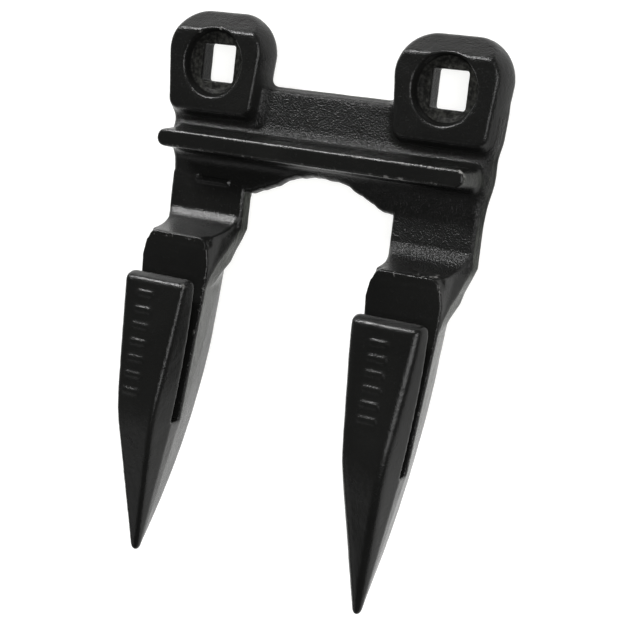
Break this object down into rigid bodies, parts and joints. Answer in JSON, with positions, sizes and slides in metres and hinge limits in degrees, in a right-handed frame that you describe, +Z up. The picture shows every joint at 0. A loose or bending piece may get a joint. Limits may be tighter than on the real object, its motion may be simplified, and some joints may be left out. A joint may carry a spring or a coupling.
{
  "type": "sickle bar knife guard",
  "caption": "Forged sickle-bar knife guard: pointed, slotted fingers with hold-down lips on a cross bar with counterbored, square-holed bolt ears.",
  "frame": {"origin": "centre of the bounding box in X and Y, on the floor plane under the finger keels", "axes": "+X along the cross bar, +Y from the finger tips towards the bolt ears, +Z up towards the hold-down lips"},
  "size_m": [0.1118, 0.1616, 0.0345],
  "materials": {
    "black_forging_paint": "satin black paint over a pebbled forged skin",
    "worn_black_paint": "satin black paint, rubbed thin on the edges"
  },
  "bodies": {
    "root": {"cross_bar": "black_forging_paint", "knife_back_rail": "worn_black_paint", "left_bolt_ear": "black_forging_paint", "right_bolt_ear": "black_forging_paint", "left_shank": "black_forging_paint", "right_shank": "black_forging_paint", "left_finger_body": "black_forging_paint", "right_finger_body": "black_forging_paint", "left_hold_down_lip": "worn_black_paint", "right_hold_down_lip": "worn_black_paint", "left_finger_nose": "worn_black_paint", "right_finger_nose": "worn_black_paint"}
  },
  "joints": []
}
